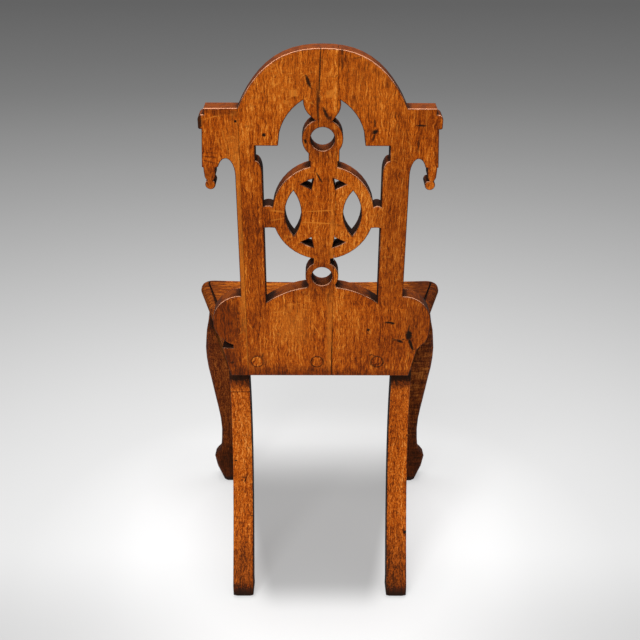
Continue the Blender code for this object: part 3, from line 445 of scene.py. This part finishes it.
for boardName, own in backBoards.items():
    board = {"origin": backOrigin, "turn": backTurn, "face": backFace, "seed": own["seed"]}
    dress(makeOak(boardName + "_oak", board, backLook, own["flawsAndPaintedShade"]), boardName)
print("back dressed")


# Directions of the grain
alongX = (0, 0, -math.pi / 2)
alongY = (0, 0, 0)
alongZ = (math.pi / 2, 0, 0)

# Oak of the seat, with its grain from side to side
seatLook = dict(backLook, **{
    "tones": ((0.06, (0.026, 0.005, 0.002)), (0.30, (0.13, 0.023, 0.0024)), (0.50, (0.29, 0.060, 0.0036)),
              (0.70, (0.42, 0.104, 0.006)), (0.95, (0.60, 0.20, 0.02))),
    "middle": 0.47, "linesScale": (330, 26, 100), "lines": 1.0, "bands": 0.8, "fine": 1.8, "rayShare": 0.15,
    "sideShare": 0.0, "arrisShare": 0.0, "edgeShare": 0.6, "edge": (0.22, 0.055, 0.009),
    "edgePaintedShade": (0.08, 0.016, 0.004), "dirtAndShadeReach": 0.012, "specular": 0.04, "shade": (0.030, 0.006, 0.002),
})
seatOrigin = (0, 0, 0.4287)
seatBoards = {"seat_board_front": (0.2, 0.6, 0), "seat_board_rear": (0.7, 0.3, 0)}

# Dark borders at both ends, and painted shade along the quirk grooves beside them
seatMarks = {
    "shades": ((0.05, 0.226, 0.4, 0.03, 0, 0.6, 0.6), (0.05, -0.215, 0.4, 0.045, 0, 0.6, 0.8)),
    "holes": (
        (0.05, 0.1871, 0.2, 0.0013, -11.6, 0.4, 0.9), (0.05, -0.1871, 0.2, 0.0013, 11.6, 0.4, 0.9),
    ),
}
for boardName, seed in seatBoards.items():
    board = {"origin": seatOrigin, "turn": alongX, "face": (0, 0, 1), "seed": seed}
    dress(makeOak(boardName + "_oak", board, seatLook, seatMarks), boardName)
print("seat dressed")


# Rear legs: golden, coarse in the pore and dark at the heel
floorOrigin = (0, 0, 0)
rearLegLook = dict(backLook, **{
    "tones": ((0.06, (0.075, 0.012, 0.0020)), (0.30, (0.27, 0.042, 0.0022)), (0.50, (0.44, 0.087, 0.0040)),
              (0.70, (0.60, 0.150, 0.014)), (0.95, (0.80, 0.30, 0.060))),
    "middle": 0.485, "linesScale": (310, 20, 12), "lines": 0.9, "fineScale": (560, 110, 60), "fine": 1.2,
    "bandsScale": (100, 3.5, 3), "bands": 0.6, "gritScale": (640, 420, 200), "grit": 1.2, "mottle": 0.1,
    "blotch": 0.3, "poreScale": (620, 190, 60), "poreShare": 0.6, "rayShare": 0.0,
    "markDepth": (10.0, 9.0), "wash": 0.7, "shade": (0.026, 0.007, 0.003),
    "edgeShare": 0.6, "arrisShare": 0.0, "edge": (0.50, 0.13, 0.014),
})

# Marks by x and height: dark heels, painted shadow under the back board at the tops, old worm holes and the
# line of the splice
rearMarks = {
    "rear_leg_left": {
        "holes": (
            (0.1458, 0.2159, 0.0026, 0.0009, 0, 0.5, 1),
            (0.1319, 0.1885, 0.0028, 0.0009, 0, 0.5, 0.9),
            (0.129, 0.185, 0.0009, 0.0038, -20, 0.5, 0.9),
            (0.135, 0.1835, 0.0016, 0.0009, 0, 0.5, 0.8),
            (0.1178, 0.1269, 0.0022, 0.0009, -10, 0.5, 0.8),
            (0.134, -0.002, 0.08, 0.021, 0, 0.5, 0.85),
        ),
        "shades": (
            (0.1337, 0.002, 0.05, 0.029, 0, 0.35, 1.0), (0.1347, 0.024, 0.08, 0.055, 0, 0.7, 0.75),
            (0.1367, 0.1155, 0.003, 0.0022, 0, 0.5, 0.7),
            (0.138, 0.3405, 0.03, 0.0007, 0, 0.5, 0.8),
        ),
        "glows": ((0.134, 0.0245, 0.011, 0.0014, 0, 0.6, 0.4),),
    },
    "rear_leg_right": {
        "holes": (
            # The first is painted shadow under the back board, then worm holes and the dark heel
            (-0.137, 0.3745, 0.08, 0.0095, 0, 0.25, 0.92),
            (-0.1467, 0.102, 0.0022, 0.0022, 0, 0.4, 1),
            (-0.1158, 0.1677, 0.001, 0.003, 0, 0.5, 1), (-0.13, -0.002, 0.08, 0.021, 0, 0.5, 0.85),
        ),
        "shades": (
            (-0.129, 0.002, 0.05, 0.029, 0, 0.35, 1.0), (-0.1296, 0.026, 0.08, 0.06, 0, 0.7, 0.8),
            # Painted shade under the back board
            (-0.135, 0.366, 0.08, 0.016, 0, 0.4, 0.95),
        ),
        "glows": ((-0.129, 0.0235, 0.012, 0.0012, 0, 0.6, 0.3),),
    },
    "rear_leg_head_left": {
        # Both marks are painted shadow under the back board
        "shades": ((0.137, 0.366, 0.08, 0.016, 0, 0.4, 0.95),),
        "holes": ((0.137, 0.3745, 0.08, 0.0095, 0, 0.25, 0.92),),
    },
}
for legName, flawsAndPaintedShade in rearMarks.items():
    seed = (0.1 * len(legName), 0.4, 0.2)
    board = {"origin": floorOrigin, "turn": alongZ, "face": (0, 1, 0), "seed": seed}
    dress(makeOak(legName + "_oak", board, rearLegLook, flawsAndPaintedShade), legName)
print("rear legs dressed")


# Front legs: dark, partly their own tone and partly painted shade from the seat above, with a ripple across
# the grain that is stronger in the right one
frontLegLook = dict(backLook, **{
    "tones": ((0.06, (0.012, 0.003, 0.0016)), (0.30, (0.050, 0.008, 0.0026)), (0.50, (0.120, 0.022, 0.0040)),
              (0.70, (0.22, 0.048, 0.007)), (0.95, (0.38, 0.12, 0.02))),
    "rippleScale": (38, 230, 38), "lines": 0.5, "bands": 0.5, "fine": 1.2, "grit": 1.3, "rayShare": 0.0,
    "markDepth": (10.0, 9.0), "shade": (0.014, 0.004, 0.002),
    "edge": (0.24, 0.060, 0.010), "edgePaintedShade": (0.05, 0.010, 0.003), "edgeRadius": 0.003, "edgeShare": 0.5,
    "sideShare": 0.0, "arrisShare": 0.0, "specular": 0.12,
})
footShades = ((0.19, 0.04, 0.06, 0.060, 0, 0.6, 0.85), (0.20, 0.12, 0.05, 0.08, 0, 0.8, 0.4))
frontLegs = {
    "front_leg_left": {"side": 1, "seed": (0.4, 0.1, 0.6), "ripple": 0.35},
    "front_leg_right": {"side": -1, "seed": (0.8, 0.9, 0.3), "ripple": 1.2},
}
for legName, own in frontLegs.items():
    board = {"origin": floorOrigin, "turn": alongZ, "face": (0, 1, 0), "seed": own["seed"]}
    flawsAndPaintedShade = {"shades": [(own["side"] * x, *rest) for x, *rest in footShades]}
    dress(makeOak(legName + "_oak", board, dict(frontLegLook, ripple=own["ripple"]), flawsAndPaintedShade), legName)
print("front legs dressed")


# Seat frame: dull and dark, as it is seen only from below
frameLook = dict(frontLegLook, **{
    "tones": ((0.06, (0.015, 0.004, 0.002)), (0.30, (0.04, 0.010, 0.003)), (0.50, (0.085, 0.022, 0.005)),
              (0.70, (0.14, 0.040, 0.008)), (0.95, (0.22, 0.08, 0.02))),
    "ripple": 0.2, "lines": 1.0, "rough": 0.7, "specular": 0.0,
})
rails = {
    "front_rail": (alongX, (0, 1, 0)), "back_rail": (alongX, (0, 1, 0)),
    "side_rail_left": (alongY, (1, 0, 0)), "side_rail_right": (alongY, (1, 0, 0)),
}
for railName, (turn, face) in rails.items():
    seed = (0.2, 0.1 * len(railName), 0.9)
    board = {"origin": floorOrigin, "turn": turn, "face": face, "seed": seed}
    dress(makeOak(railName + "_oak", board, frameLook), railName)

# Glue blocks of pale pine
blockLook = dict(frameLook, **{
    "tones": ((0.06, (0.16, 0.075, 0.025)), (0.30, (0.32, 0.16, 0.055)), (0.50, (0.45, 0.25, 0.095)),
              (0.70, (0.53, 0.33, 0.13)), (0.95, (0.62, 0.41, 0.2))),
    "pore": (0.25, 0.12, 0.04), "poreShare": 0.2, "edge": (0.6, 0.4, 0.2), "edgePaintedShade": (0.3, 0.16, 0.06),
    "rough": 0.66, "specular": 0.1,
})
board = {"origin": floorOrigin, "turn": alongZ, "face": (0, 0, 1), "seed": (0.5, 0.5, 0.5)}
blocks = [name for name in nodes if name.startswith("corner_block")]
dress(makeOak("block_pine", board, blockLook), *blocks)

# Pellets, set with their grain askew
pelletLook = dict(backLook, **{"dirtAndShadeShare": 1.0, "dirtAndShadeReach": 0.004, "middle": 0.44, "lines": 1.5})
pelletTurn = (math.pi / 2 - rake, 0, math.radians(70))
board = {"origin": backOrigin, "turn": pelletTurn, "face": backFace, "seed": (0.3, 0.2, 0.1)}
dress(makeOak("pellet_oak", board, pelletLook), "pellet_1", "pellet_2", "pellet_3")

# Screws of dull steel, a little rusty
steelLook = {
    "steel": (0.36, 0.34, 0.32), "rust": (0.12, 0.05, 0.02), "rustScale": (900, 900, 900),
    "rustDetail": (4.0, 0.6), "rustRange": (0.45, 0.62), "rough": (0.38, 0.8), "metallic": 0.9,
}


def makeSteel(name, look):
    made = bpy.data.materials.new(name)
    made.use_nodes = True
    tree = made.node_tree
    shader = tree.nodes["Principled BSDF"]
    place = addNode(tree, "TexCoord").outputs["Object"]
    rust = step(tree, noiseAt(tree, place, look["rustScale"], *look["rustDetail"]), *look["rustRange"])
    feed(tree, shader.inputs["Base Color"], blend(tree, rust, look["steel"], look["rust"]))
    feed(tree, shader.inputs["Roughness"], step(tree, rust, 0, 1, *look["rough"]))
    shader.inputs["Metallic"].default_value = look["metallic"]
    return made


screws = [name for name in nodes if "screw" in name]
dress(makeSteel("screw_steel", steelLook), *screws)
print("frame and fixings dressed")


# Floor: plain, with a painted pool of light round the chair, a painted soft shadow between its legs, and a
# glow of its own colour
floorLook = {
    "size": 400.0, "rough": 0.9, "glow": 1.0,
    # Tones by share, which is reach / (reach + fadeReach)
    "tones": ((0.060, 0.475), (0.141, 0.453), (0.200, 0.389), (0.259, 0.347),
              (0.350, 0.322), (0.497, 0.278), (0.641, 0.238), (0.713, 0.213),
              (0.780, 0.180), (0.843, 0.142), (0.896, 0.119), (0.984, 0.089)),
    "fadeReach": 1.6,
    # Painted light: in front, towards the camera, it is a little paler in the middle and darker at the
    # corners
    "frontSqueeze": 0.7, "frontMiddle": 0.05, "frontSide": -0.23,
    "frontY": (0.05, 0.35), "frontX": (0.0, 0.45), "frontFade": (0.6, 0.3),
    "patchX": (0.16, 0.112), "patchSpread": 0.18, "patchFront": (0.265, 0.17), "patchBack": (-0.44, -0.15),
    "patchShare": 0.43,
}


def makeFloor(look):
    bpy.ops.mesh.primitive_plane_add(size=look["size"])
    floor = bpy.context.object
    floor.name = "floor"
    made = bpy.data.materials.new("floor")
    made.use_nodes = True
    tree = made.node_tree
    shader = tree.nodes["Principled BSDF"]
    parts = addNode(tree, "SeparateXYZ", {0: addNode(tree, "TexCoord").outputs["Object"]}).outputs
    x, y = parts[0], parts[1]
    aside = calc(tree, "ABSOLUTE", x)

    # Painted light: paler near the chair, darker far behind it and at both front corners
    deep = calc(tree, "MINIMUM", y, calc(tree, "MULTIPLY", y, look["frontSqueeze"]))
    reach = calc(tree, "SQRT", calc(tree, "MULTIPLY_ADD", x, x, calc(tree, "MULTIPLY", deep, deep)))
    share = calc(tree, "DIVIDE", reach, calc(tree, "ADD", reach, look["fadeReach"]))
    gain = step(tree, aside, *look["frontX"])
    gain = calc(tree, "MULTIPLY_ADD", gain, look["frontSide"], look["frontMiddle"])
    gain = calc(tree, "MULTIPLY", gain, step(tree, share, *look["frontFade"]))
    gain = calc(tree, "MULTIPLY_ADD", step(tree, y, *look["frontY"]), gain, 1.0)
    stops = [(position, (tone, tone, tone)) for position, tone in look["tones"]]
    colour = blend(tree, 1.0, ramp(tree, share, stops), gain, mode="MULTIPLY")

    # Painted soft shadow between the legs
    paintedShadow = step(tree, calc(tree, "MULTIPLY_ADD", y, look["patchSpread"], aside), *look["patchX"])
    paintedShadow = calc(tree, "MULTIPLY", paintedShadow, step(tree, y, *look["patchFront"]))
    paintedShadow = calc(tree, "MULTIPLY", paintedShadow, step(tree, y, *look["patchBack"], 0.0, look["patchShare"]))
    colour = blend(tree, paintedShadow, colour, (0, 0, 0))
    feed(tree, shader.inputs["Base Color"], colour)
    # The floor glows with its own colour, painted light though it is no lamp
    feed(tree, shader.inputs["Emission Color"], colour)
    shader.inputs["Emission Strength"].default_value = look["glow"]
    shader.inputs["Roughness"].default_value = look["rough"]
    shader.inputs["Specular IOR Level"].default_value = 0.0
    floor.data.materials.append(made)


# Backdrop, as the camera and reflections see it, and the light it gives
worldLook = {"skyTone": 0.127, "ambient": 0.4}


def makeWorld(look):
    world = bpy.data.worlds.new("world")
    bpy.context.scene.world = world
    world.use_nodes = True
    tree = world.node_tree
    path = addNode(tree, "LightPath")
    seen = calc(tree, "MAXIMUM", path.outputs["Is Camera Ray"], path.outputs["Is Glossy Ray"])
    seen = calc(tree, "MAXIMUM", seen, path.outputs["Is Transmission Ray"])
    strength = step(tree, seen, 0, 1, look["ambient"], look["skyTone"])
    feed(tree, tree.nodes["Background"].inputs["Strength"], strength)
    tree.nodes["Background"].inputs["Color"].default_value = (1, 1, 1, 1)


lampLooks = {
    "key": {"place": (0.7, 2.4, 2.3), "aim": (0, 0.1, 0.5), "size": (1.5, 1.5), "watts": 62.0},
    "top": {"place": (0.0, -0.2, 3.0), "aim": (0, 0, 0), "size": (1.4, 1.4), "watts": 70.0},
}


def makeLamp(name, look):
    data = bpy.data.lights.new(name, "AREA")
    data.shape = "RECTANGLE"
    data.size, data.size_y = look["size"]
    data.energy = look["watts"]
    lamp = bpy.data.objects.new(name, data)
    bpy.context.scene.collection.objects.link(lamp)
    lamp.location = look["place"]
    beam = Vector(look["aim"]) - Vector(look["place"])
    lamp.rotation_euler = beam.to_track_quat("-Z", "Y").to_euler()


makeFloor(floorLook)
makeWorld(worldLook)
for lampName, lampLook in lampLooks.items():
    makeLamp(lampName, lampLook)
bpy.context.scene.view_settings.view_transform = "Standard"
print("stage set")
